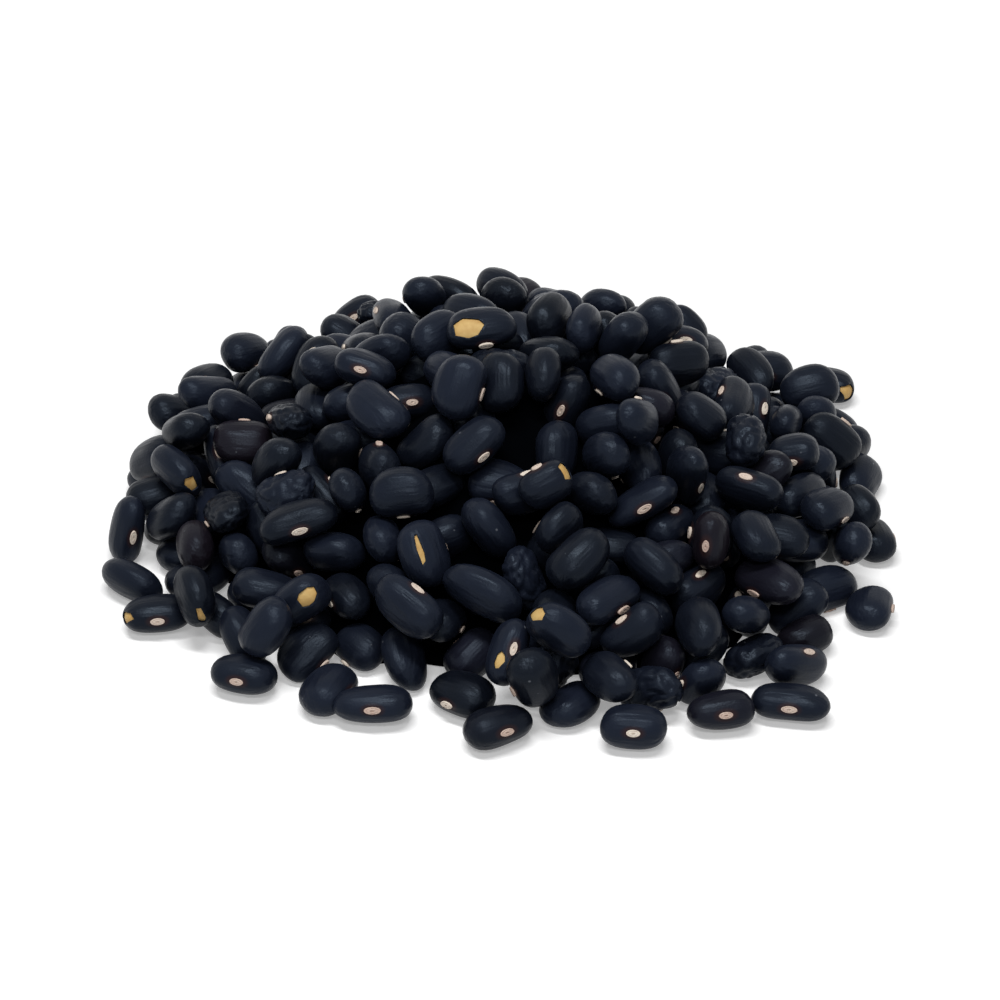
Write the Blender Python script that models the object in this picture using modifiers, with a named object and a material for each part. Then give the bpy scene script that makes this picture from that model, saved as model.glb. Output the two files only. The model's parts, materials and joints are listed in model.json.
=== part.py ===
"""A heap of dried black beans, as one closed solid out to its uneven outline.

Units are metres and +Z is up. The origin is the middle of the heap's footprint,
on the surface that the heap lies on. +X runs across the heap, and -Y is the side
that faces the viewer, where the loose beans lie.
"""

import math
import random

import bmesh
import bpy
from mathutils import Euler, Matrix, Vector

# Driving dimensions of the heap.
HEAP_REACH_X = 0.0585  # middle of the heap to the middle of the foot's beans, to the sides
HEAP_REACH_Y = 0.0535  # the same, to the front and the back
HEAP_TOP = 0.0325  # height of the mound under the topmost beans' backs
CREST_ROUNDING = 1.18  # 1 is a cone's sharp tip, and more is a rounder crest
FOOT_STEEPNESS = 0.80  # under 1 the slope steepens towards the foot

# One dried bean.
BEAN_LENGTH = 0.0098
BEAN_WIDTH = 0.0067
BEAN_THICKNESS = 0.0054
BEAN_HOLLOW = 0.0006  # how far the eye side is drawn in at the middle
SIZE_SPREAD = 0.07

# How the beans lie.
SURFACE_BEANS = 232
FOOT_BEANS = 38
TILT = math.radians(20)
BURIED = 0.0012  # how far a bean's middle may sit under the mound's surface
PROUD = 0.0008  # how far it may stand over it
SEED = 21

# Beans that rolled out past the foot: bearing round the heap in degrees (-90 is
# the front), distance from the middle in metres, and how the bean is turned.
LOOSE_BEANS = (
    (-128, 0.0600, -15),
    (-91, 0.0600, 20),
    (-75, 0.0610, 0),
    (-56, 0.0625, -10),
    (-31, 0.0605, 60),
    (34, 0.0595, -20),
)

SKIN_CELL = 0.0025  # cell of the skin drawn over the beans
UNDERSIDE_DEPTH = 0.004  # how far the shapes reach under the floor before the cut
FLOOR_SINK = 0.0003  # a foot bean's belly that the cut flattens

COAT_COLOUR = (0.010, 0.012, 0.018, 1.0)
COAT_ROUGHNESS = 0.42


def clear_scene():
    for obj in list(bpy.data.objects):
        bpy.data.objects.remove(obj, do_unlink=True)


def new_collection(name):
    collection = bpy.data.collections.new(name)
    bpy.context.scene.collection.children.link(collection)
    return collection


def coat_material():
    material = bpy.data.materials.new("black_seed_coat")
    material.use_nodes = True
    shader = material.node_tree.nodes["Principled BSDF"]
    shader.inputs["Base Color"].default_value = COAT_COLOUR
    shader.inputs["Roughness"].default_value = COAT_ROUGHNESS
    shader.inputs["Metallic"].default_value = 0.0
    return material


def outline_swell(bearing):
    """How far the foot's outline leaves a plain oval at a bearing, as a share."""
    return (
        1.0
        + 0.020 * math.sin(2 * bearing + 2.6)
        + 0.016 * math.sin(3 * bearing + 0.4)
        + 0.014 * math.sin(5 * bearing + 1.1)
    )


def mound_height(x, y):
    """Height of the mound over a point of the floor, 0 past its foot."""
    swell = outline_swell(math.atan2(y, x))
    share = math.hypot(x / HEAP_REACH_X, y / HEAP_REACH_Y) / swell
    if share >= 1.0:
        return 0.0
    return HEAP_TOP * (1.0 - share**CREST_ROUNDING) ** FOOT_STEEPNESS


def mound_point(share, bearing):
    """A point of the mound's surface, at a share of the way from the middle to the foot."""
    reach = share * outline_swell(bearing)
    x = reach * HEAP_REACH_X * math.cos(bearing)
    y = reach * HEAP_REACH_Y * math.sin(bearing)
    return Vector((x, y, mound_height(x, y)))


def mound_normal(point):
    """The outward direction of the mound's surface, from its slopes along X and Y."""
    step = 0.001
    slope_x = mound_height(point.x + step, point.y) - mound_height(point.x - step, point.y)
    slope_y = mound_height(point.x, point.y + step) - mound_height(point.x, point.y - step)
    return Vector((-slope_x, -slope_y, 2 * step)).normalized()


def add_mound(bm):
    """The body of the heap: a sphere whose top follows the mound and whose belly is flat."""
    made = bmesh.ops.create_uvsphere(bm, u_segments=48, v_segments=28, radius=1.0)
    for vert in made["verts"]:
        x, y, z = vert.co
        bearing = math.atan2(y, x)
        share = min(math.hypot(x, y), 1.0)
        point = mound_point(share, bearing)
        if z < 0:
            point.z = -UNDERSIDE_DEPTH * min(1.0, -2 * z)
        vert.co = point


def add_bean(bm, middle, turn, size):
    """One kidney-shaped bean: its length along X, its eye side towards -Y, its thickness along Z."""
    made = bmesh.ops.create_uvsphere(bm, u_segments=14, v_segments=10, radius=0.5)
    for vert in made["verts"]:
        x, y, z = vert.co
        bow = BEAN_HOLLOW * (1.0 - 4.0 * x * x)
        vert.co = Vector((x * BEAN_LENGTH, y * BEAN_WIDTH + bow, z * BEAN_THICKNESS)) * size
    place = Matrix.Translation(middle) @ turn.to_matrix().to_4x4()
    bmesh.ops.transform(bm, matrix=place, verts=made["verts"])


def add_surface_beans(bm, dice):
    """Beans spread evenly over the mound along a golden-angle spiral, each lying on the slope."""
    golden_angle = math.pi * (3.0 - math.sqrt(5.0))
    for index in range(SURFACE_BEANS):
        share = 0.97 * ((index + 0.5) / SURFACE_BEANS) ** 0.48
        point = mound_point(share, index * golden_angle)
        normal = mound_normal(point)
        lie_flat = Vector((0, 0, 1)).rotation_difference(normal)
        tilt = Euler((dice.uniform(-TILT, TILT), dice.uniform(-TILT, TILT), 0)).to_quaternion()
        heading = Euler((0, 0, dice.uniform(-math.pi, math.pi))).to_quaternion()
        size = dice.uniform(1 - SIZE_SPREAD, 1 + SIZE_SPREAD)
        middle = point + normal * dice.uniform(-BURIED, PROUD)
        add_bean(bm, middle, lie_flat @ tilt @ heading, size)


def add_floor_bean(bm, bearing, reach, heading):
    """A bean lying flat on the floor."""
    height = BEAN_THICKNESS / 2 - FLOOR_SINK
    middle = Vector((reach * math.cos(bearing), reach * math.sin(bearing), height))
    add_bean(bm, middle, Euler((0, 0, heading)).to_quaternion(), 1.0)


def add_foot_beans(bm, dice):
    """The ring of beans that lie on the floor along the heap's foot."""
    for index in range(FOOT_BEANS):
        bearing = 2 * math.pi * (index + dice.uniform(-0.2, 0.2)) / FOOT_BEANS
        foot = mound_point(0.985, bearing)
        reach = math.hypot(foot.x, foot.y) + dice.uniform(-0.0015, 0.0005)
        add_floor_bean(bm, bearing, reach, dice.uniform(-math.pi, math.pi))


def add_loose_beans(bm):
    for bearing, reach, heading in LOOSE_BEANS:
        add_floor_bean(bm, math.radians(bearing), reach, math.radians(heading))


def skinned(obj):
    """One closed skin over the shapes that the object holds, as a new mesh."""
    skin = obj.modifiers.new("Skin", "REMESH")
    skin.mode = "VOXEL"
    skin.voxel_size = SKIN_CELL
    graph = bpy.context.evaluated_depsgraph_get()
    mesh = bpy.data.meshes.new_from_object(obj.evaluated_get(graph))
    obj.modifiers.remove(skin)
    return mesh


def cut_flat_and_centre(mesh):
    """Cuts the skin off at the floor, closes the cut and centres the footprint on the origin."""
    bm = bmesh.new()
    bm.from_mesh(mesh)
    everything = list(bm.verts) + list(bm.edges) + list(bm.faces)
    cut = bmesh.ops.bisect_plane(
        bm,
        geom=everything,
        dist=1e-7,
        plane_co=(0, 0, 0),
        plane_no=(0, 0, -1),
        clear_outer=True,
    )
    rim = [item for item in cut["geom_cut"] if isinstance(item, bmesh.types.BMEdge)]
    bmesh.ops.dissolve_degenerate(bm, dist=2e-5, edges=rim)
    open_edges = [edge for edge in bm.edges if edge.is_boundary]
    bmesh.ops.holes_fill(bm, edges=open_edges, sides=0)
    xs = [vert.co.x for vert in bm.verts]
    ys = [vert.co.y for vert in bm.verts]
    shift = Vector((-(min(xs) + max(xs)) / 2, -(min(ys) + max(ys)) / 2, 0))
    bmesh.ops.translate(bm, vec=shift, verts=list(bm.verts))
    bmesh.ops.triangulate(bm, faces=list(bm.faces))
    bmesh.ops.recalc_face_normals(bm, faces=list(bm.faces))
    bm.to_mesh(mesh)
    bm.free()


def build_heap(collection):
    dice = random.Random(SEED)
    bm = bmesh.new()
    add_mound(bm)
    add_surface_beans(bm, dice)
    add_foot_beans(bm, dice)
    add_loose_beans(bm)
    shapes = bpy.data.meshes.new("bean_heap_shapes")
    bm.to_mesh(shapes)
    bm.free()

    heap = bpy.data.objects.new("bean_heap", shapes)
    collection.objects.link(heap)
    heap.data = skinned(heap)
    bpy.data.meshes.remove(shapes)
    heap.data.name = "bean_heap"
    cut_flat_and_centre(heap.data)
    heap.data.materials.append(coat_material())
    heap.data.shade_smooth()
    return heap


clear_scene()
build_heap(new_collection("heap_of_dried_beans"))
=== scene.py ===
# %% [markdown]
# # A heap of dried black beans
#
# A heap of beans is several hundred hard, smooth seeds that slid over each other until
# friction stopped them. Nobody places them one by one, so this lesson doesn't either:
# it models each bean, drops them all with Blender's rigid bodies, and then dresses the
# heap that they settle into. The pieces that come out are few: one joined mesh for
# each kind of bean, one for their eyes, one for the chipped skins and one for the bare
# seed leaves under them, and a dark core that closes the view between the beans.

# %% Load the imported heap
import json
import math
import random

import bmesh
import bpy
from mathutils import Euler, Matrix, Vector, noise

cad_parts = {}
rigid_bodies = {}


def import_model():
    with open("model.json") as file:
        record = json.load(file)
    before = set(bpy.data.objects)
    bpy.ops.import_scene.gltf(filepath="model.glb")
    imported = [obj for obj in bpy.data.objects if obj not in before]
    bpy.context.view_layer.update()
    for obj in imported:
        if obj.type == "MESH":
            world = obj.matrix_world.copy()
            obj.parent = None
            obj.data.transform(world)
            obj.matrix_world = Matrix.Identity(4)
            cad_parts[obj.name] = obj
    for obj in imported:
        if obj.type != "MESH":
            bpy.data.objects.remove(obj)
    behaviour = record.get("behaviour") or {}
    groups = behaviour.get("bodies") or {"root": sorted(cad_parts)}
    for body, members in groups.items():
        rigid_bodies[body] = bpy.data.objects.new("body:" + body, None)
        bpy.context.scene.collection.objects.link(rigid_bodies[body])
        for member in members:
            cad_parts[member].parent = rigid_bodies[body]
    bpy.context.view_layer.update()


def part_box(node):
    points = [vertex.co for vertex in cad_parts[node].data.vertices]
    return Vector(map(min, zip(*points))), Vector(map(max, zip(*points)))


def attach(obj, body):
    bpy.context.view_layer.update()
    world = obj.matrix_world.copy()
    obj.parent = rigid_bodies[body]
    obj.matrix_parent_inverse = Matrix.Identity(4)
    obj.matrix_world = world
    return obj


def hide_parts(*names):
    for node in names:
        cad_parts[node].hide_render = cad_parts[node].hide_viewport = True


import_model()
heap_low, heap_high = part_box("bean_heap")
MM = 0.001
print("heap in mm:", [round(side / MM, 1) for side in (heap_high - heap_low)])

# %% [markdown]
# ## The mound
#
# All lengths below are in millimetres until a mesh is finished. The frame gives the
# heap's reach and its height. A heap of smooth beans is no cone: its crest is rounded
# and its foot is steep, and one formula with two exponents draws both. The foot isn't
# a clean oval either, so its reach is given at a few bearings, as a share of the
# heap's half width, and a cosine joins one bearing to the next.

# %% The mound's outline and height
HALF_WIDTH = round(heap_high.x / MM, 1)
HEAP_TOP = 35.0  # the curve's tip, a little over the beans that slump under it
CREST_ROUNDING = 1.15
FOOT_STEEPNESS = 0.82
# bearing in degrees (-90 is the front) and reach.
FOOT = (
    (-180, 0.94),
    (-163, 0.96),
    (-149, 0.88),
    (-134, 0.86),
    (-118, 0.92),
    (-108, 0.86),
    (-90, 0.86),
    (-78, 0.90),
    (-60, 0.94),
    (-46, 0.99),
    (-30, 0.92),
    (-8, 0.95),
    (12, 0.98),
    (40, 0.94),
    (75, 0.90),
    (110, 0.92),
    (145, 0.92),
    (180, 0.94),
)


def foot_reach(bearing):
    """The foot's distance from the middle at a bearing in radians."""
    degrees = (math.degrees(bearing) + 180) % 360 - 180
    for (start, low), (end, high) in zip(FOOT, FOOT[1:]):
        if start <= degrees <= end:
            blend = (1 - math.cos(math.pi * (degrees - start) / (end - start))) / 2
            return HALF_WIDTH * (low + (high - low) * blend)


def share_of_foot(x, y, inset=0.0):
    """0 at the mound's middle and 1 at its foot, or at a foot drawn in by inset."""
    return math.hypot(x, y) / (foot_reach(math.atan2(y, x)) - inset)


def foot_point(bearing, inset=0.0, height=0.0):
    """A point over the foot at a bearing, drawn in towards the middle by inset."""
    reach = foot_reach(bearing) - inset
    return Vector((reach * math.cos(bearing), reach * math.sin(bearing), height))


def mound_profile(share, top):
    """Height of a mound at a share of the way from its middle to its foot."""
    return top * (1.0 - share**CREST_ROUNDING) ** FOOT_STEEPNESS if share < 1.0 else 0.0


print("half width", round(HALF_WIDTH, 1), "mm, top", round(HEAP_TOP, 1), "mm")

# %% [markdown]
# ## One bean
#
# A dried black bean is about 10 mm long, 7 wide and 5.5 thick. Its ends are blunter
# than an egg's, one long edge is bowed out, and the other, where the eye sits, is
# nearly straight or a little hollow. No two are alike. A bean could be carved by
# subdividing and sculpting, but hundreds are needed, so each starts from the same
# light cage: a cube cut into 4 x 4 faces a side and blown up into a ball. A formula
# then stretches the ball into a bean, and a smooth noise dents it. A Subdivision
# Surface on the joined mesh rounds them all at the end.

# %% The ball cage
CUBE_CUTS = 3


def ball_cage():
    """A ball of radius 1 made of a cube's six sides, with faces of nearly one size."""
    bm = bmesh.new()
    bmesh.ops.create_cube(bm, size=2.0)
    bmesh.ops.subdivide_edges(bm, edges=list(bm.edges), cuts=CUBE_CUTS, use_grid_fill=True)
    for vert in bm.verts:
        vert.co = Vector([math.tan(side * math.pi / 4) for side in vert.co]).normalized()
    mesh = bpy.data.meshes.new("ball_cage")
    bm.to_mesh(mesh)
    bm.free()
    return mesh


cage = ball_cage()
print("ball cage:", len(cage.polygons), "faces")

# %% Bean forms
# length, width and thickness in mm, the bow of the eye's edge, and how many of a hundred.
FORMS = {
    "plump_beans": {"size": (9.9, 7.0, 5.6), "bow": 0.55, "of_100": 46},
    "long_beans": {"size": (11.0, 6.7, 5.3), "bow": 0.80, "of_100": 28},
    "small_beans": {"size": (8.8, 6.4, 5.2), "bow": 0.40, "of_100": 18},
    "wrinkled_beans": {"size": (9.8, 6.8, 5.1), "bow": 0.60, "of_100": 8},
}
SIZE_SPREAD = 0.05
END_BLUNTNESS = 3.2
TAPER_SPREAD = 0.07
LUMP = 0.22


def bean_point(ball, size, bow, taper, lump_seed):
    """Moves a point of the ball onto a bean: length along X, eye at -Y, thickness along Z."""
    x, y, z = ball
    waist = math.sqrt(max(1.0 - x * x, 1e-9))
    girth = math.sqrt(max(1.0 - abs(x) ** END_BLUNTNESS, 0.0)) / waist * (1.0 + taper * x)
    point = Vector((x * size[0] / 2, y * girth * size[1] / 2, z * girth * size[2] / 2))
    point.y += bow * (0.6 - x * x)
    return point + ball * LUMP * noise.noise(ball * 1.6 + Vector((lump_seed, 0, 0)))


def mark_own_places(mesh, tone):
    """Keeps each point's place in mm and the bean's tone in attributes, for the patterns."""
    mesh.attributes.new("bean_mm", "FLOAT_VECTOR", "POINT")
    mesh.attributes.new("bean_tone", "FLOAT", "POINT")
    own_place = mesh.attributes["bean_mm"].data
    own_tone = mesh.attributes["bean_tone"].data
    for vert in mesh.vertices:
        own_place[vert.index].vector = vert.co
        own_tone[vert.index].value = tone


def bean_mesh(form, dice, name):
    """One bean of a form, its own place in mm kept in an attribute for its skin's pattern."""
    size = [side * dice.gauss(1.0, SIZE_SPREAD) for side in FORMS[form]["size"]]
    bow = FORMS[form]["bow"] * dice.uniform(0.5, 1.4)
    taper = dice.gauss(0.0, TAPER_SPREAD)
    lump_seed = dice.uniform(0, 500)
    tone = dice.random()
    mesh = cage.copy()
    mesh.name = name
    for vert in mesh.vertices:
        vert.co = bean_point(vert.co.copy(), size, bow, taper, lump_seed)
    mark_own_places(mesh, tone)
    eye_seat = min(vert.co.y for vert in mesh.vertices if abs(vert.co.x) < 0.5)
    return mesh, {"form": form, "size": size, "eye_seat": eye_seat, "tone": tone}


# %% [markdown]
# ## Dropping the beans
#
# Blender's rigid bodies run the fall. Three things make it quick and steady. The
# solver likes objects about a unit across, so the whole set is grown until 1 unit is
# 1 cm. A core of stacked slabs stands where nobody can see, so that only the outer
# beans have to be simulated, and its steps hold the slope. A ring of thin plates
# stands along the foot, because rounded beans on a bare floor spread out flat before
# friction can stop them.

# %% The rigid-body set
GROW = 0.1  # set units for each mm: 1 unit is 1 cm
CORE_INSET = 15.0
CORE_TOP = 24.0
SLAB = 5.0
FENCE_PLATES = 36
FENCE_HEIGHT = 40.0
FENCE_LEAN = 3.0
FENCE_WANDER = 1.0
FENCE_THICKNESS = 8.0
FRICTION = 1.0
SET_SEED = 33

scene = bpy.context.scene
set_things = bpy.data.collections.new("settling_set")
scene.collection.children.link(set_things)


def put_on_set(name, mesh, kind, shape):
    """Adds an object to the rigid-body set."""
    thing = bpy.data.objects.new(name, mesh)
    set_things.objects.link(thing)
    bpy.context.view_layer.objects.active = thing
    bpy.ops.object.select_all(action="DESELECT")
    thing.select_set(True)
    bpy.ops.rigidbody.object_add(type=kind)
    thing.rigid_body.collision_shape = shape
    thing.rigid_body.friction = FRICTION
    thing.rigid_body.restitution = 0.0
    return thing


def hull_mesh(name, points):
    """The closed hull round some points, grown to the set's units."""
    bm = bmesh.new()
    for point in points:
        bm.verts.new(Vector(point) * GROW)
    bmesh.ops.convex_hull(bm, input=list(bm.verts))
    mesh = bpy.data.meshes.new(name)
    bm.to_mesh(mesh)
    bm.free()
    return mesh


def add_set_floor():
    """A thick block whose top is the floor."""
    half = 200.0
    corners = [(x, y, z) for x in (-half, half) for y in (-half, half) for z in (-20, 20)]
    floor = put_on_set("set_floor", hull_mesh("set_floor", corners), "PASSIVE", "BOX")
    floor.location.z = -20.0 * GROW


def share_at_height(height, top):
    """The share of the way to the foot at which a mound is this high."""
    return (1.0 - (height / top) ** (1.0 / FOOT_STEEPNESS)) ** (1.0 / CREST_ROUNDING)


def add_core_slabs():
    """Stacked convex slabs, each as wide as the core at its own middle."""
    for level in range(round(CORE_TOP / SLAB)):
        share = share_at_height((level + 0.5) * SLAB, CORE_TOP)
        points = []
        for turn in range(32):
            rim = foot_point(turn * math.pi / 16, CORE_INSET) * share
            for height in (level * SLAB, (level + 1) * SLAB):
                points.append(rim + Vector((0, 0, height)))
        put_on_set(f"slab_{level}", hull_mesh(f"slab_{level}", points), "PASSIVE", "CONVEX_HULL")


def add_fence(dice):
    """Plates round the foot, a little out of line and leaning in at the bottom."""
    plates = []
    for index in range(FENCE_PLATES):
        wander = dice.uniform(-FENCE_WANDER, FENCE_WANDER)
        points = []
        for bearing in (index - 0.08, index + 1.08):
            angle = bearing * 2 * math.pi / FENCE_PLATES
            for inset, height in ((0, 0), (FENCE_LEAN, 9), (FENCE_LEAN, FENCE_HEIGHT)):
                points.append(foot_point(angle, inset + wander, height))
                points.append(foot_point(angle, wander - FENCE_THICKNESS, height))
        name = f"plate_{index}"
        plates.append(put_on_set(name, hull_mesh(name, points), "PASSIVE", "CONVEX_HULL"))
    return plates


bpy.ops.rigidbody.world_add()
world_of_bodies = scene.rigidbody_world
world_of_bodies.substeps_per_frame = 8
world_of_bodies.solver_iterations = 10
dice = random.Random(SET_SEED)
add_set_floor()
add_core_slabs()
fence = add_fence(dice)

# %% [markdown]
# The beans start in columns over the core, one for every step of a honeycomb grid, and
# each column holds as many as the mound is thick there. Stacked straight up they don't
# touch, so nothing bursts apart in the first frame.

# %% Start places
BEAN_GAP = 10.6
FILL = 0.38  # beans in a column for each mm between core and mound
START_ABOVE_CORE = 8.0
RING_INSET = 5.6
RING_BEANS = 31


def start_places(dice):
    """Start places of all the beans, in mm: a ring along the foot, then the columns."""
    places = []
    for index in range(RING_BEANS):
        bearing = (index + dice.uniform(-0.05, 0.05)) * 2 * math.pi / RING_BEANS
        places.append(foot_point(bearing, RING_INSET, 5.2))
    row_gap = BEAN_GAP * math.sqrt(3) / 2
    for row in range(-7, 8):
        for column in range(-7, 8):
            x = (column + 0.5 * (row % 2)) * BEAN_GAP
            y = row * row_gap
            if share_of_foot(x, y, inset=RING_INSET) > 1.0:
                continue
            over_ring = share_of_foot(x, y, inset=RING_INSET + BEAN_GAP) > 1.0
            core = 5.2 if over_ring else mound_profile(share_of_foot(x, y, CORE_INSET), CORE_TOP)
            depth = mound_profile(share_of_foot(x, y), HEAP_TOP) - core
            count = round(depth * FILL + dice.uniform(-0.4, 0.4))
            for layer in range(count):
                height = core + START_ABOVE_CORE + (layer + 0.4 * over_ring) * BEAN_GAP
                places.append(Vector((x, y, height)))
    return places


def pick_form(dice):
    """A bean form, by its share in a hundred."""
    names = list(FORMS)
    return dice.choices(names, weights=[FORMS[name]["of_100"] for name in names])[0]


def make_bean(index, place, turn, dice, form=None):
    """A bean standing ready on the set."""
    name = f"bean_{index:03d}"
    mesh, facts = bean_mesh(form or pick_form(dice), dice, name)
    mesh.transform(Matrix.Scale(GROW, 4))
    bean = bpy.data.objects.new(name, mesh)
    set_things.objects.link(bean)
    bean.rotation_mode = "QUATERNION"
    bean.location = place * GROW
    bean.rotation_quaternion = turn.to_quaternion()
    return bean, facts


beans = []
for place in start_places(dice):
    turn = Euler([dice.uniform(-math.pi, math.pi) for axis in range(3)])
    beans.append(make_bean(len(beans), place, turn, dice))
print("beans to drop:", len(beans))


# %% Let them fall
FALL_FRAMES = 100
LINEAR_DAMPING = 0.6
TURN_DAMPING = 0.8


def make_active(objects):
    """Turns objects into moving rigid bodies."""
    bpy.context.view_layer.update()
    bpy.ops.object.select_all(action="DESELECT")
    for thing in objects:
        thing.select_set(True)
    bpy.context.view_layer.objects.active = objects[0]
    bpy.ops.rigidbody.objects_add(type="ACTIVE")
    for thing in objects:
        body = thing.rigid_body
        body.collision_shape = "CONVEX_HULL"
        body.friction = FRICTION
        body.restitution = 0.0
        body.mass = 0.2
        body.linear_damping = LINEAR_DAMPING
        body.angular_damping = TURN_DAMPING
        body.use_margin = True
        body.collision_margin = 0.002


def run_bodies(objects, frames):
    """Runs the rigid bodies and returns where the objects end."""
    scene.frame_start = 1
    scene.frame_end = frames
    world_of_bodies.point_cache.frame_end = frames
    for number in range(1, frames + 1):
        scene.frame_set(number)
    return [thing.matrix_world.copy() for thing in objects]


def stand_where(objects, places):
    """Makes these places the objects' start."""
    scene.frame_set(1)
    for thing, place in zip(objects, places):
        thing.matrix_world = place
    bpy.context.view_layer.update()


bean_objects = [bean for bean, facts in beans]
make_active(bean_objects)
settled = run_bodies(bean_objects, FALL_FRAMES)
print("settled top in mm:", round(max(place.translation.z for place in settled) / GROW, 1))

# %% [markdown]
# A few beans always roll clear of a heap, and they are what the eye reads first along
# its foot. These are laid from a list, flat on the floor, and held still. Then the plates
# go, and the heap gets a moment more to lean against the laid beans and to slump where
# nothing holds it.

# %% Beans laid along the foot
# bearing and reach from the middle, heading of the bean's length, lean, and form.
LAID = (
    (-149.0, 0.905, 8, 14, "plump_beans"),
    (-128.4, 0.900, -15, 16, "plump_beans"),
    (-115.7, 0.848, 65, 10, "plump_beans"),
    (-108.3, 0.862, 2, 20, "long_beans"),
    (-89.9, 0.898, 26, 18, "plump_beans"),
    (-72.1, 0.955, -4, 20, "plump_beans"),
    (-60.1, 0.972, 12, 22, "plump_beans"),
    (-51.6, 1.030, -10, 16, "long_beans"),
    (-27.0, 0.962, 75, 8, "small_beans"),
    (34.6, 1.030, -22, 4, "long_beans"),
)


def lay_bean(bearing, reach, heading, lean, form, dice):
    """A bean lying on the floor, its eye side turned towards the viewer."""
    angle = math.radians(bearing)
    place = Vector((math.cos(angle), math.sin(angle), 0.0)) * reach * HALF_WIDTH
    turn = Euler((math.radians(-lean), 0, math.radians(heading)))
    bean, facts = make_bean(len(beans), place, turn, dice, form)
    bpy.context.view_layer.update()
    lowest = min((bean.matrix_world @ vert.co).z for vert in bean.data.vertices)
    bean.location.z -= lowest
    return bean, facts


laid = [lay_bean(*entry, dice) for entry in LAID]
laid_objects = [bean for bean, facts in laid]
make_active(laid_objects)
for bean in laid_objects:
    bean.rigid_body.type = "PASSIVE"
print("laid beans:", len(laid))

# %% Take the plates away and let the heap lean
LEAN_FRAMES = 26

stand_where(bean_objects, settled)
for plate in fence:
    bpy.data.objects.remove(plate)
settled = run_bodies(bean_objects, LEAN_FRAMES)
middles = [place.translation / GROW for place in settled]
print("heap top in mm:", round(max(middle.z for middle in middles), 1))

# %% [markdown]
# ## Out of the set and into the heap
#
# Each bean's resting place is baked into its mesh, shrunk back to real size, and the
# set is taken down. A bean that rolled off beyond the foot is left out, and so is one
# that ended up perched high over the slope, where no real bean would stay. A bean that
# the run caught just over the floor is set down on it.

# %% Bake the places and clear the set
STRAY_SHARE = 1.03
TO_METRES = Matrix.Scale(MM / GROW, 4)
SET_DOWN = 2.5  # mm over the floor, under which a bean is set down
PERCHED = 7.0  # mm of a bean's middle over the mound

resting = []
for (bean, facts), place in zip(beans, settled):
    middle = place.translation / GROW
    share = share_of_foot(middle.x, middle.y)
    proud = middle.z - mound_profile(min(share, 1.0), HEAP_TOP)
    if share < STRAY_SHARE and proud < PERCHED:
        resting.append({"mesh": bean.data, "place": place, **facts})
for bean, facts in laid:
    resting.append({"mesh": bean.data, "place": bean.matrix_world.copy(), **facts})

bpy.ops.rigidbody.world_remove()
for thing in list(set_things.objects):
    bpy.data.objects.remove(thing)
bpy.data.collections.remove(set_things)
scene.frame_set(1)
for bean in resting:
    bean["middle"] = bean["place"].translation / GROW
    bean["turn"] = bean["place"].to_quaternion()
    bean["mesh"].transform(TO_METRES @ bean["place"])
    lowest = min(vert.co.z for vert in bean["mesh"].vertices) / MM
    if lowest < SET_DOWN:
        bean["mesh"].transform(Matrix.Translation((0, 0, -lowest * MM)))
        bean["middle"].z -= lowest
print("beans in the heap:", len(resting))

# %% [markdown]
# ## Joining the kinds
#
# Three hundred objects would be slow to handle, so the beans of each form are joined
# into one piece. Join keeps the two attributes, so every bean still knows its own
# places in millimetres and its own tone. The Subdivision Surface stays live.

# %% Join the smooth beans
heap_parts = bpy.data.collections.new("heap_of_black_beans")
scene.collection.children.link(heap_parts)


def joined(name, meshes):
    """One object from many meshes that are already in place; their attributes come along."""
    pieces = []
    for mesh in meshes:
        piece = bpy.data.objects.new(name, mesh)
        heap_parts.objects.link(piece)
        pieces.append(piece)
    bpy.ops.object.select_all(action="DESELECT")
    for piece in pieces:
        piece.select_set(True)
    bpy.context.view_layer.objects.active = pieces[0]
    if len(pieces) > 1:
        bpy.ops.object.join()
    whole = bpy.context.view_layer.objects.active
    whole.name = name
    whole.data.name = name
    whole.data.shade_smooth()
    return whole


def rounded(piece, levels):
    """A live Subdivision Surface."""
    surface = piece.modifiers.new("Rounding", "SUBSURF")
    surface.levels = levels
    surface.render_levels = levels
    return piece


def rounded_mesh(mesh, levels):
    """A mesh as its Subdivision Surface leaves it."""
    piece = rounded(bpy.data.objects.new("rounding", mesh), levels)
    heap_parts.objects.link(piece)
    graph = bpy.context.evaluated_depsgraph_get()
    smooth = bpy.data.meshes.new_from_object(piece.evaluated_get(graph))
    bpy.data.objects.remove(piece)
    return smooth


# %% Pick the chipped beans
# Where on the heap a skin has chipped: across and along the heap in mm, which side of
# the bean is bare (its end, or the side turned to the viewer), the bare patch's half
# length and half width in mm, and how many straight breaks it has.
CHIPS = (
    (-1.5, 4.0, "side", 2.0, 1.5, 7),
    (0.0, -20.5, "end", 1.4, 1.3, 6),
    (-28.0, -31.5, "side", 1.5, 1.1, 8),
    (52.7, 36.3, "end", 1.5, 1.2, 6),
    (-48.0, -29.0, "end", 1.6, 0.7, 5),
    (10.5, -40.6, "end", 1.6, 1.0, 6),
    (-42.0, -3.0, "end", 1.1, 0.8, 5),
    (-14.3, -30.2, "side", 2.0, 0.4, 6),
    (-39.3, -22.7, "end", 1.2, 0.5, 5),
    (-3.6, -46.0, "side", 1.0, 0.7, 7),
)
VIEW_SIDE = Vector((0.0, -0.78, 0.62))


def bean_over(x, y, taken):
    """The free bean that shows best at a place of the mound, looked at from the viewer's side."""
    place = Vector((x, y, mound_profile(share_of_foot(x, y), HEAP_TOP)))

    def off_place(bean):
        offset = bean["middle"] - place
        towards = offset.dot(VIEW_SIDE)
        sideways = (offset - VIEW_SIDE * towards).length
        return sideways - 0.8 * min(towards, 4.0)

    return min((bean for bean in resting if id(bean) not in taken), key=off_place)


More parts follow.
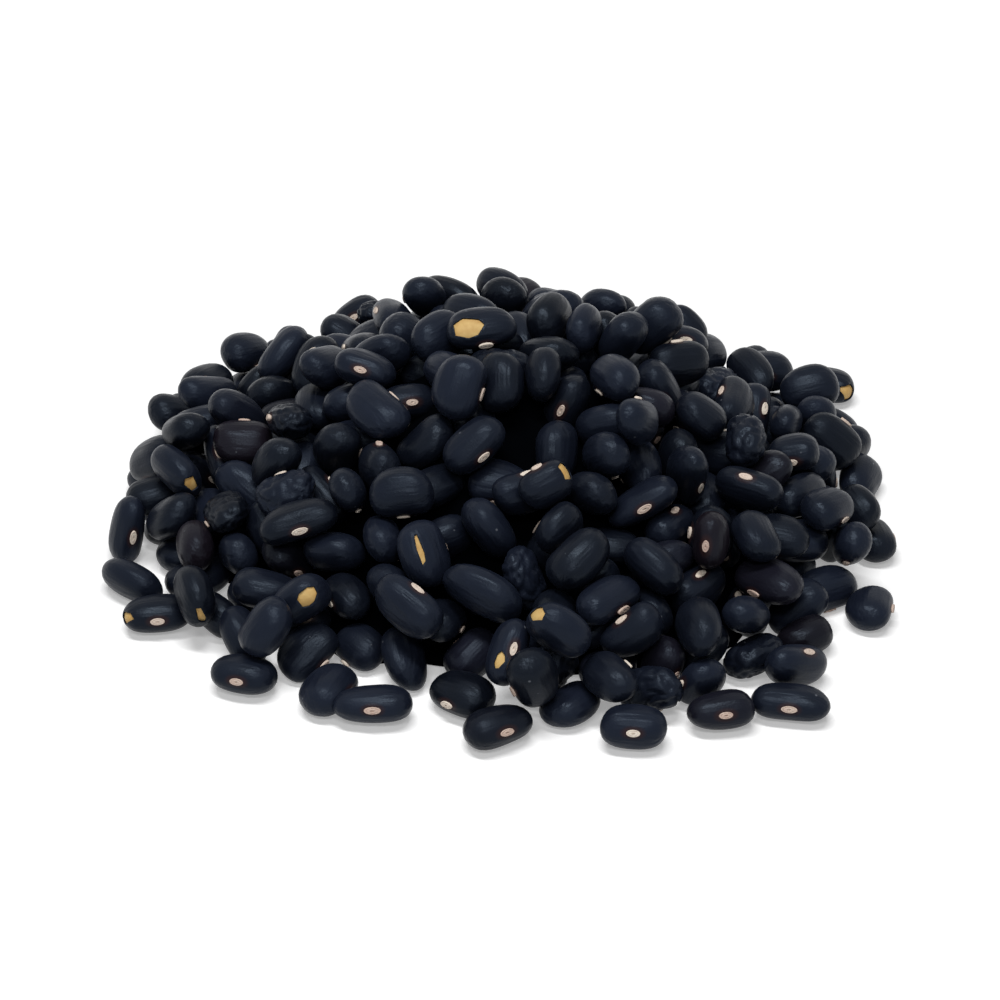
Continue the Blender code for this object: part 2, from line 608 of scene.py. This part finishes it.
chipped = {}
for x, y, side, half_length, half_width, breaks in CHIPS:
    bean = bean_over(x, y, chipped)
    chipped[id(bean)] = (bean, side, half_length, half_width, breaks)
    bean["chipped"] = True
print("chipped beans:", len(chipped))

# %% Join the whole ones
bean_pieces = []
for form in FORMS:
    if form == "wrinkled_beans":
        continue
    meshes = [bean["mesh"] for bean in resting if bean["form"] == form and "chipped" not in bean]
    bean_pieces.append(rounded(joined(form, meshes), 1))
    print(form + ":", len(meshes))

# %% [markdown]
# ## Wrinkled beans
#
# A few skins have dried loose and lie in folds. Their cage is rounded one level
# further, so that it has points enough for folds about a millimetre apart, and each
# point is then pushed in by a ridged noise read at the bean's own places.

# %% Fold the loose skins
FOLD_GAP = 1.7
FOLD_DEPTH = 0.42


def fold_skin(mesh, tone):
    """Pushes a rounded bean's points in along their normals, in branching folds."""
    own_place = mesh.attributes["bean_mm"].data
    pushes = []
    for vert in mesh.vertices:
        place = own_place[vert.index].vector / FOLD_GAP + Vector((tone * 90, 0, 0))
        bend = noise.noise_vector(place * 0.7) * 0.6
        fold = 1.0 - abs(noise.noise(place + bend)) * 2.6
        pushes.append(vert.normal * max(fold, 0.0) ** 2 * FOLD_DEPTH * MM)
    for vert, push in zip(mesh.vertices, pushes):
        vert.co -= push


folded = []
for bean in resting:
    if bean["form"] == "wrinkled_beans" and "chipped" not in bean:
        mesh = rounded_mesh(bean["mesh"], 2)
        fold_skin(mesh, bean["tone"])
        folded.append(mesh)
bean_pieces.append(joined("wrinkled_beans", folded))
print("wrinkled_beans:", len(folded))

# %% [markdown]
# ## Chipped skins and the seed leaves under them
#
# Here and there a skin has broken away and the tan seed leaf shows. A painted patch
# would look flat at the edge, so these beans are two pieces: the skin is a thin shell
# with straight-edged breaks, cut by planes round the bare patch, and under it lies the
# whole body of the seed, a little smaller.

# %% Break the skins
SKIN = 0.22  # thickness of the shell, thicker than the real 0.1 so that its edge shows


def bare_direction(bean, side):
    """The patch's middle as a direction from the bean's middle, in the bean's own frame."""
    inwards = bean["turn"].inverted()
    view = inwards @ VIEW_SIDE
    if side == "end":
        tip = Vector((math.copysign(1.0, view.x), 0, 0))
        return (tip + view * 0.55).normalized()
    return (view + Vector((0, 0, math.copysign(0.5, view.z)))).normalized()


def skin_point(mesh, middle, direction):
    """The mesh's point that lies furthest along a direction."""
    return max((vert.co - middle for vert in mesh.vertices), key=lambda co: co.dot(direction))


def broken_skin(bean, mesh, side, half_length, half_width, breaks, dice):
    """The bean's skin as a shell, open over its bare patch."""
    middle = bean["middle"] * MM
    outward = bean["turn"] @ bare_direction(bean, side)
    along = bean["turn"] @ Vector((1, 0, 0))
    along = (along - outward * along.dot(outward)).normalized()
    across = outward.cross(along)
    centre = middle + skin_point(mesh, middle, outward)
    bm = bmesh.new()
    bm.from_mesh(mesh)
    planes = []
    for index in range(breaks):
        angle = 2 * math.pi * (index + dice.uniform(-0.2, 0.2)) / breaks
        out = along * math.cos(angle) * half_length + across * math.sin(angle) * half_width
        normal = (
            along * math.cos(angle) / half_length + across * math.sin(angle) / half_width
        ).normalized()
        foot = centre + out * dice.uniform(0.85, 1.15) * MM
        planes.append((foot, normal))
        everything = list(bm.verts) + list(bm.edges) + list(bm.faces)
        bmesh.ops.bisect_plane(bm, geom=everything, dist=1e-7, plane_co=foot, plane_no=normal)
    bare = []
    for face in bm.faces:
        place = face.calc_center_median()
        inside = all((place - foot).dot(normal) < 0 for foot, normal in planes)
        if inside and (place - middle).dot(outward) > 0:
            bare.append(face)
    bmesh.ops.delete(bm, geom=bare, context="FACES")
    bmesh.ops.solidify(bm, geom=list(bm.faces), thickness=SKIN * MM)
    shell = bpy.data.meshes.new("chipped_skin")
    bm.to_mesh(shell)
    bm.free()
    return shell


def seed_body(mesh):
    """The seed under the skin: the same bean, shrunk by a little more than the skin."""
    body = mesh.copy()
    pushes = [vert.normal * (SKIN + 0.06) * MM for vert in mesh.vertices]
    for vert, push in zip(body.vertices, pushes):
        vert.co -= push
    return body


dice = random.Random(11)
shells = []
bodies = []
for bean, side, half_length, half_width, breaks in chipped.values():
    smooth = rounded_mesh(bean["mesh"], 2)
    shells.append(broken_skin(bean, smooth, side, half_length, half_width, breaks, dice))
    bodies.append(seed_body(smooth))
chipped_piece = joined("chipped_skins", shells)
bean_pieces.append(chipped_piece)
leaf_piece = joined("seed_leaves", bodies)
print("chipped skins:", len(shells))

# %% [markdown]
# ## The eyes
#
# Where a bean hung in its pod it keeps a scar, the eye: a pale oval pad about 2 mm
# long, with a slit along its middle. Each
# is a short cone whose top is inset again and again, first down for a groove inside
# the rim, then up for the cushion, and down once more for the slit.

# %% One eye
EYE_LENGTH = 2.1
EYE_WIDTH = 1.0
EYE_DEPTH = 0.6
EYE_PROUD = 0.1
# thickness and depth of each inset, as shares of the eye's half length.
EYE_INSETS = ((0.12, 0.0), (0.08, -0.12), (0.12, 0.12), (0.36, 0.10), (0.05, -0.25))


def eye_mesh():
    """An eye that faces -Y, its length along X."""
    bm = bmesh.new()
    bmesh.ops.create_cone(bm, cap_ends=True, segments=14, radius1=1.0, radius2=0.92, depth=1.0)
    cushion = max(bm.faces, key=lambda face: face.calc_center_median().z)
    for thickness, depth in EYE_INSETS:
        bmesh.ops.inset_individual(bm, faces=[cushion], thickness=thickness, depth=depth)
    half_sides = Matrix.Diagonal((EYE_LENGTH / 2, EYE_WIDTH / 2, EYE_DEPTH, 1))
    to_eye = Matrix.Rotation(math.pi / 2, 4, "X") @ half_sides
    bmesh.ops.transform(bm, matrix=to_eye, verts=list(bm.verts))
    mesh = bpy.data.meshes.new("bean_eye")
    bm.to_mesh(mesh)
    bm.free()
    return mesh


# %% An eye on every bean
one_eye = eye_mesh()
eyes = []
for bean in resting:
    mesh = one_eye.copy()
    mark_own_places(mesh, bean["tone"])
    length_share = bean["size"][0] / FORMS["plump_beans"]["size"][0]
    seat = Matrix.Translation((0, bean["eye_seat"] + EYE_DEPTH / 2 - EYE_PROUD, 0))
    to_bean = Matrix.LocRotScale(bean["middle"] * MM, bean["turn"], (MM, MM, MM))
    mesh.transform(to_bean @ seat @ Matrix.Diagonal((length_share, 1, 1, 1)))
    eyes.append(mesh)
eye_piece = joined("bean_eyes", eyes)
print("eyes:", len(eyes))

# %% [markdown]
# ## The core
#
# Only the outer beans exist. What keeps the view from falling through between them is
# a mound one bean's thickness under the heap's surface, with lumps the size of beans.
# Its dull near-black colour, with no shine, is painted shade: it stands for the shaded
# beans deeper in the heap. It runs through the lower beans, where nobody can see it.

# %% The core mound
CORE_UNDER = 6.5  # mm under the mound's tip
CORE_SEEN_INSET = 14.0
CORE_LUMP = 1.2
CORE_FLOOR = 0.4


def core_mesh():
    """A ball pulled into a low mound with a flat belly."""
    bm = bmesh.new()
    bmesh.ops.create_uvsphere(bm, u_segments=96, v_segments=48, radius=1.0)
    for vert in bm.verts:
        share = min(math.hypot(vert.co.x, vert.co.y), 1.0)
        point = foot_point(math.atan2(vert.co.y, vert.co.x), CORE_SEEN_INSET) * share
        height = mound_profile(share, HEAP_TOP - CORE_UNDER)
        lump = CORE_LUMP * (noise.noise(point / 6.0) - 0.4)
        point.z = CORE_FLOOR if vert.co.z < 0 else max(height + lump, CORE_FLOOR + 0.1)
        vert.co = point * MM
    mesh = bpy.data.meshes.new("heap_core")
    bm.to_mesh(mesh)
    bm.free()
    return mesh


core = joined("heap_core", [core_mesh()])
print("core:", len(core.data.polygons), "faces")

# %% [markdown]
# ## Materials
#
# Each starts from what the real surface is. Colours are written as sRGB hex values and
# turned linear by one function, and one function adds a node with its settings and
# links.

# %% Colour and node helpers


def linear(hex_colour):
    """A linear colour from an sRGB hex value."""
    parts = [int(hex_colour[start : start + 2], 16) / 255 for start in (1, 3, 5)]
    return (*[p / 12.92 if p <= 0.04045 else ((p + 0.055) / 1.055) ** 2.4 for p in parts], 1.0)


def add_node(tree, kind, inputs=None, **settings):
    """Adds a node, sets it up, and fills or links its inputs."""
    made = tree.nodes.new(kind)
    for name, value in settings.items():
        setattr(made, name, value)
    for name, value in (inputs or {}).items():
        if isinstance(value, bpy.types.NodeSocket):
            tree.links.new(value, made.inputs[name])
        else:
            made.inputs[name].default_value = value
    return made


def new_material(name):
    """A material with an empty tree."""
    material = bpy.data.materials.new(name)
    material.use_nodes = True
    material.node_tree.nodes.clear()
    return material, material.node_tree


# %% [markdown]
# ### Dried bean skin
#
# A bean's skin is a hard layer of cellulose and tannin, blue-black, with a thin waxy
# bloom. It is smooth but not polished, so a lamp shows as a broad soft patch, broken
# by long shallow ridges where the skin shrank and by a fine grain. The bloom scatters
# a little blue, which the specular tint gives. Some skins lean to plum, and specks of
# pale dust stick to them. Pattern scales are real sizes in millimetres, read from each
# bean's own places, so that the ridges run along every bean, whichever way it lies.

# %% Skin material
MOTTLE_SIZE = 2.8
RIDGE_GAP = 1.3
RIDGE_STRETCH = 0.16
GRAIN_SIZE = 0.3  # the real grain is finer, and this is as fine as shows
EYE_REACH = (0.62, 0.0, 1.1)  # 1 over the tanned ring's half length and half width in mm
DUST_GAP = 2.2
DUST_SIZE = 0.05


def skin_material(name, dark, light, plum):
    material, tree = new_material(name)
    place = add_node(tree, "ShaderNodeAttribute", attribute_name="bean_mm").outputs["Vector"]
    tone = add_node(tree, "ShaderNodeAttribute", attribute_name="bean_tone").outputs["Fac"]
    own = add_node(tree, "ShaderNodeMath", {0: tone, 1: 83.0}, operation="MULTIPLY").outputs[0]

    def own_noise(vector, size, detail):
        inputs = {"Vector": vector, "W": own, "Scale": 1 / size, "Detail": detail}
        return add_node(tree, "ShaderNodeTexNoise", inputs, noise_dimensions="4D").outputs["Fac"]

    mottle = own_noise(place, MOTTLE_SIZE, 3.0)
    stretched = add_node(
        tree,
        "ShaderNodeVectorMath",
        {0: place, 1: (RIDGE_STRETCH, 1.0, 1.0)},
        operation="MULTIPLY",
    ).outputs[0]
    ridges = own_noise(stretched, RIDGE_GAP, 2.0)
    grain = own_noise(place, GRAIN_SIZE, 2.0)

    shade = add_node(tree, "ShaderNodeMath", {0: own}, operation="FRACT").outputs[0]
    blotch = add_node(
        tree, "ShaderNodeMath", {0: mottle, 1: 0.5, 2: shade}, operation="MULTIPLY_ADD"
    ).outputs[0]
    depth = add_node(tree, "ShaderNodeMapRange", {"Value": blotch, "From Max": 1.5}).outputs[0]
    black = add_node(tree, "ShaderNodeMix", {0: depth}, data_type="RGBA")
    black.inputs[6].default_value = linear(dark)
    black.inputs[7].default_value = linear(light)
    lean = add_node(
        tree,
        "ShaderNodeMapRange",
        {"Value": tone, "From Min": 0.9, "From Max": 1.0, "To Max": 0.7},
    ).outputs[0]
    skin = add_node(tree, "ShaderNodeMix", {0: lean}, data_type="RGBA")
    tree.links.new(black.outputs[2], skin.inputs[6])
    skin.inputs[7].default_value = linear(plum)

    from_eye = add_node(
        tree, "ShaderNodeVectorMath", {0: place, 1: EYE_REACH}, operation="MULTIPLY"
    ).outputs[0]
    beyond = add_node(tree, "ShaderNodeVectorMath", {0: from_eye}, operation="LENGTH")
    halo = add_node(
        tree,
        "ShaderNodeMapRange",
        {
            "Value": beyond.outputs["Value"],
            "From Min": 0.7,
            "From Max": 1.2,
            "To Min": 0.8,
            "To Max": 0.0,
        },
    ).outputs[0]
    sides = add_node(tree, "ShaderNodeSeparateXYZ", {0: place}).outputs
    eye_side = add_node(tree, "ShaderNodeMath", {0: sides["Y"], 1: 0.0}, operation="LESS_THAN")
    tanned = add_node(
        tree, "ShaderNodeMath", {0: halo, 1: eye_side.outputs[0]}, operation="MULTIPLY"
    ).outputs[0]
    haloed = add_node(tree, "ShaderNodeMix", {0: tanned}, data_type="RGBA")
    tree.links.new(skin.outputs[2], haloed.inputs[6])
    haloed.inputs[7].default_value = linear("#2E1D1C")

    specks = add_node(
        tree,
        "ShaderNodeTexVoronoi",
        {"Vector": place, "W": own, "Scale": 1 / DUST_GAP},
        voronoi_dimensions="4D",
    ).outputs["Distance"]
    dust = add_node(
        tree,
        "ShaderNodeMapRange",
        {
            "Value": specks,
            "From Min": DUST_SIZE,
            "From Max": DUST_SIZE * 2,
            "To Min": 0.5,
            "To Max": 0.0,
        },
    ).outputs[0]
    dusty = add_node(tree, "ShaderNodeMix", {0: dust}, data_type="RGBA")
    tree.links.new(haloed.outputs[2], dusty.inputs[6])
    dusty.inputs[7].default_value = linear("#7C8088")

    roughness = add_node(
        tree,
        "ShaderNodeMapRange",
        {"Value": mottle, "From Min": 0.3, "From Max": 0.7, "To Min": 0.28, "To Max": 0.42},
    ).outputs[0]
    ridged = add_node(
        tree,
        "ShaderNodeBump",
        {"Height": ridges, "Strength": 0.7, "Distance": 0.40 * MM},
    ).outputs[0]
    grained = add_node(
        tree,
        "ShaderNodeBump",
        {"Height": grain, "Strength": 0.5, "Distance": 0.06 * MM, "Normal": ridged},
    ).outputs[0]
    shader = add_node(
        tree,
        "ShaderNodeBsdfPrincipled",
        {
            "Base Color": dusty.outputs[2],
            "Roughness": roughness,
            "Specular IOR Level": 0.12,
            "Specular Tint": (0.66, 0.81, 1.0, 1.0),
            "Normal": grained,
        },
    )
    add_node(tree, "ShaderNodeOutputMaterial", {"Surface": shader.outputs[0]})
    return material


skin = skin_material("dried_bean_skin", "#07090E", "#1A1F2C", "#1A1318")
for piece in bean_pieces:
    piece.data.materials.clear()
    piece.data.materials.append(skin)
print("skins:", len(bean_pieces))

# %% [markdown]
# ### Eye scar and seed leaf
#
# Both are bare plant tissue and quite matt. The scar is chalky cream, pinker on some
# beans. The seed leaf is pressed starch: tan, a little glassy, and browner in patches.

# %% Eye and seed leaf materials


def matt_tissue(name, pale, deep, patch_size, roughness, by_bean, shine=0.3):
    """A matt material that runs from pale to deep, by patches and from bean to bean."""
    material, tree = new_material(name)
    place = add_node(tree, "ShaderNodeAttribute", attribute_name="bean_mm").outputs["Vector"]
    tone = add_node(tree, "ShaderNodeAttribute", attribute_name="bean_tone").outputs["Fac"]
    patches = add_node(
        tree,
        "ShaderNodeTexNoise",
        {"Vector": place, "W": tone, "Scale": 1 / patch_size, "Detail": 3.0},
        noise_dimensions="4D",
    ).outputs["Fac"]
    uneven = add_node(
        tree,
        "ShaderNodeMapRange",
        {"Value": patches, "From Min": 0.3, "From Max": 0.7, "To Max": 1.0 - by_bean},
    ).outputs[0]
    own = add_node(tree, "ShaderNodeMath", {0: tone, 1: by_bean, 2: uneven}, operation="MULTIPLY_ADD")
    colour = add_node(tree, "ShaderNodeMix", {0: own.outputs[0]}, data_type="RGBA")
    colour.inputs[6].default_value = linear(pale)
    colour.inputs[7].default_value = linear(deep)
    pitted = add_node(
        tree,
        "ShaderNodeBump",
        {"Height": patches, "Strength": 0.6, "Distance": 0.1 * MM},
    ).outputs[0]
    shader = add_node(
        tree,
        "ShaderNodeBsdfPrincipled",
        {
            "Base Color": colour.outputs[2],
            "Roughness": roughness,
            "Specular IOR Level": shine,
            "Normal": pitted,
        },
    )
    add_node(tree, "ShaderNodeOutputMaterial", {"Surface": shader.outputs[0]})
    return material


eye_piece.data.materials.append(matt_tissue("eye_scar", "#EFE5D6", "#BFA295", 0.5, 0.75, 0.7))
leaf_piece.data.materials.clear()
leaf_piece.data.materials.append(matt_tissue("bare_seed_leaf", "#DDBD7C", "#B78A4A", 1.6, 0.6, 0.3))
# The core's near-black, shineless colour is painted shade for the shaded beans inside the heap.
core.data.materials.append(matt_tissue("deep_shade", "#040508", "#020304", 3.0, 1.0, 0.0, 0.0))

# %% Everything rides on the heap's body
for piece in (*bean_pieces, eye_piece, leaf_piece, core):
    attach(piece, "root")
    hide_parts("bean_heap")

# %% [markdown]
# ## Floor, light and camera
#
# The heap lies on a white paper sweep under two long soft boxes, one high over its
# front and one lower and further forward, so many beans carry a double streak. The paper and the
# room are white to whatever looks at them, while the light that they give the beans
# stays plain.

# %% Floor
PAPER_HALF = 3.0
LIFT_NEAR = 0.3  # glow where the heap lies, rising to white further out
LIFT_FROM = 0.07  # metres from the middle
LIFT_TO = 0.20


def seen_directly(tree):
    """1 where a camera, glossy or transmission ray looks, 0 for the light that things get."""
    path = add_node(tree, "ShaderNodeLightPath")
    mirror_or_eye = add_node(
        tree,
        "ShaderNodeMath",
        {0: path.outputs["Is Camera Ray"], 1: path.outputs["Is Glossy Ray"]},
        operation="MAXIMUM",
    )
    return add_node(
        tree,
        "ShaderNodeMath",
        {0: mirror_or_eye.outputs[0], 1: path.outputs["Is Transmission Ray"]},
        operation="MAXIMUM",
    ).outputs[0]


def paper_material():
    """White paper that keeps its shadows and is lifted to full white where it is looked at."""
    material, tree = new_material("white_paper")
    paper = add_node(tree, "ShaderNodeBsdfDiffuse", {"Color": linear("#F4F4F4")})
    place = add_node(tree, "ShaderNodeNewGeometry").outputs["Position"]
    away = add_node(tree, "ShaderNodeVectorMath", {0: place}, operation="LENGTH")
    whiteness = add_node(
        tree,
        "ShaderNodeMapRange",
        {
            "Value": away.outputs["Value"],
            "From Min": LIFT_FROM,
            "From Max": LIFT_TO,
            "To Min": LIFT_NEAR,
            "To Max": 1.0,
        },
    ).outputs[0]
    lift = add_node(
        tree, "ShaderNodeMath", {0: seen_directly(tree), 1: whiteness}, operation="MULTIPLY"
    )
    glow = add_node(tree, "ShaderNodeEmission", {"Strength": lift.outputs[0]})
    both = add_node(tree, "ShaderNodeAddShader", {0: paper.outputs[0], 1: glow.outputs[0]})
    add_node(tree, "ShaderNodeOutputMaterial", {"Surface": both.outputs[0]})
    return material


floor_bm = bmesh.new()
bmesh.ops.create_grid(floor_bm, x_segments=1, y_segments=1, size=PAPER_HALF)
floor_mesh = bpy.data.meshes.new("paper_sweep")
floor_bm.to_mesh(floor_mesh)
floor_bm.free()
floor_mesh.materials.append(paper_material())
floor = bpy.data.objects.new("paper_sweep", floor_mesh)
scene.collection.objects.link(floor)

# %% Room and lamps
ROOM_LIGHT = 0.14

world = bpy.data.worlds.new("white_room")
scene.world = world
world.use_nodes = True
room = world.node_tree
room.nodes.clear()
strength = add_node(
    room, "ShaderNodeMapRange", {"Value": seen_directly(room), "To Min": ROOM_LIGHT, "To Max": 1.0}
)
white = add_node(
    room, "ShaderNodeBackground", {"Color": (1, 1, 1, 1), "Strength": strength.outputs[0]}
)
add_node(room, "ShaderNodeOutputWorld", {"Surface": white.outputs[0]})


def soft_box(name, location, size, watts):
    """A long rectangular lamp turned at the heap."""
    lamp = bpy.data.lights.new(name, "AREA")
    lamp.shape = "RECTANGLE"
    lamp.size = size[0]
    lamp.size_y = size[1]
    lamp.energy = watts
    holder = bpy.data.objects.new(name, lamp)
    scene.collection.objects.link(holder)
    holder.location = location
    holder.rotation_euler = (-Vector(location)).to_track_quat("-Z", "Y").to_euler()
    return holder


soft_box("high_softbox", (-0.04, -0.12, 0.56), (0.34, 0.07), 2.2)
soft_box("front_softbox", (-0.03, -0.42, 0.44), (0.26, 0.04), 0.75)

# %% Camera
ELEVATION = math.radians(32)
DISTANCE = 0.425
LENS = 102.8
AIM = Vector((0.0004, 0.0, 0.0037))

camera = bpy.data.cameras.new("camera")
camera.lens = LENS
camera.sensor_width = 36.0
camera.clip_start = 0.01
viewer = bpy.data.objects.new("camera", camera)
scene.collection.objects.link(viewer)
viewer.location = AIM + Vector((0, -math.cos(ELEVATION), math.sin(ELEVATION))) * DISTANCE
viewer.rotation_euler = (AIM - viewer.location).to_track_quat("-Z", "Y").to_euler()
scene.camera = viewer
scene.view_settings.view_transform = "Standard"
